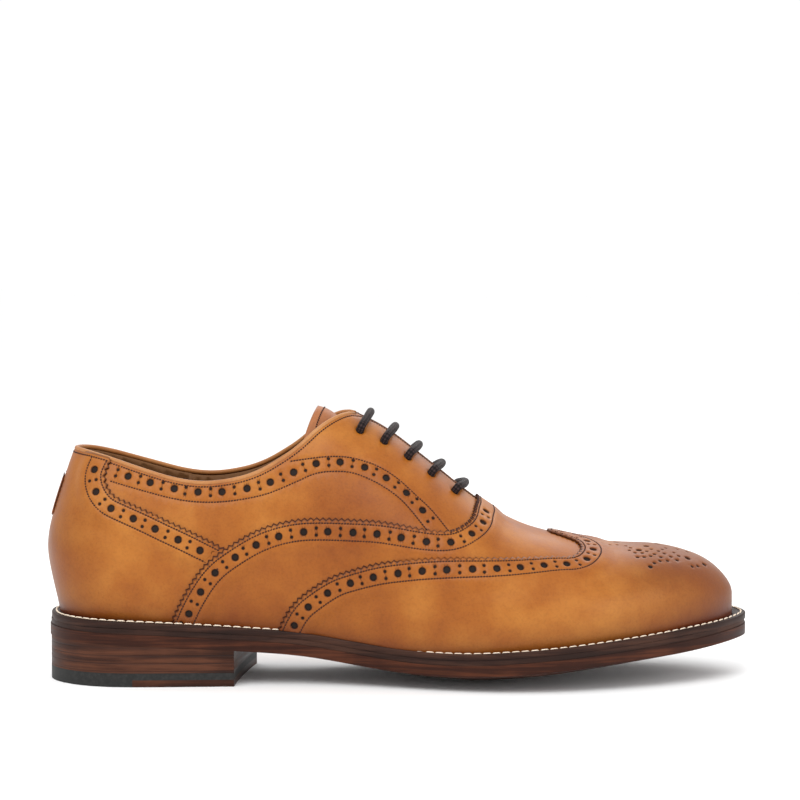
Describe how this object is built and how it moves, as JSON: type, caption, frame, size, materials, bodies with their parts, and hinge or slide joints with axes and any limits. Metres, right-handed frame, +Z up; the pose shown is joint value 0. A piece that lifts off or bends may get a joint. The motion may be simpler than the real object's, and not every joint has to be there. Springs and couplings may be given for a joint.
{
  "type": "leather oxford shoe",
  "caption": "Right full-brogue oxford shoe in tan leather with wing cap, closed lacing, dark laces, welted leather sole and stacked heel.",
  "frame": {"origin": "middle of the shoe's plan box, on the ground under the heel and the ball of the sole", "axes": "+X towards the toe, +Y towards the medial (big toe) side, +Z up"},
  "size_m": [0.3109, 0.1048, 0.1206],
  "materials": {
    "upper_leather": "burnished calf, satin",
    "binding_leather": "satin",
    "tongue_leather": "satin",
    "lining_leather": "matt",
    "sock_leather": "satin",
    "insole_leather": "matt",
    "stiffener": "matt",
    "stay_tape": "woven",
    "welt_leather": "waxed dark brown",
    "outsole_leather": "waxed brown",
    "heel_stack": "stacked and waxed",
    "heel_rubber": "matt black",
    "cork": "granulated cork",
    "shank_steel": "plain",
    "nail_brass": "plain",
    "eyelet_brass": "plain",
    "lace_cotton": "round waxed cotton",
    "aglet_plastic": "gloss"
  },
  "bodies": {
    "shoe": {"wing_cap": "upper_leather", "vamp": "upper_leather", "counter_cover": "upper_leather", "quarter_lateral": "upper_leather", "quarter_medial": "upper_leather", "heel_tab": "upper_leather", "topline_binding": "binding_leather", "heel_lining": "lining_leather", "quarter_lining_lateral": "lining_leather", "quarter_lining_medial": "lining_leather", "vamp_lining": "lining_leather", "sock_liner": "sock_leather", "insole": "insole_leather", "toe_puff": "stiffener", "heel_stiffener": "stiffener", "side_stiffener_lateral": "stiffener", "side_stiffener_medial": "stiffener", "facing_stay_lateral": "stay_tape", "facing_stay_medial": "stay_tape", "welt": "welt_leather", "midsole": "welt_leather", "outsole": "outsole_leather", "heel_lift_1": "heel_stack", "heel_lift_2": "heel_stack", "heel_lift_3": "heel_stack", "top_piece_leather": "heel_stack", "top_piece_rubber": "heel_rubber", "cork_filler": "cork", "shank": "shank_steel", "heel_nails": "nail_brass", "blind_eyelets": "eyelet_brass", "lace": "lace_cotton", "aglets": "aglet_plastic"},
    "tongue": {"tongue": "tongue_leather", "tongue_lining": "lining_leather"}
  },
  "joints": [
    {"name": "tongue_hinge", "type": "hinge", "parent": "shoe", "child": "tongue", "pos_m": [0.0319, 0.0029, 0.0725], "axis": [0, -1, 0], "range_deg": [0, 12], "stiffness_Nm_per_rad": 0.15, "springref_deg": -2.86}
  ]
}
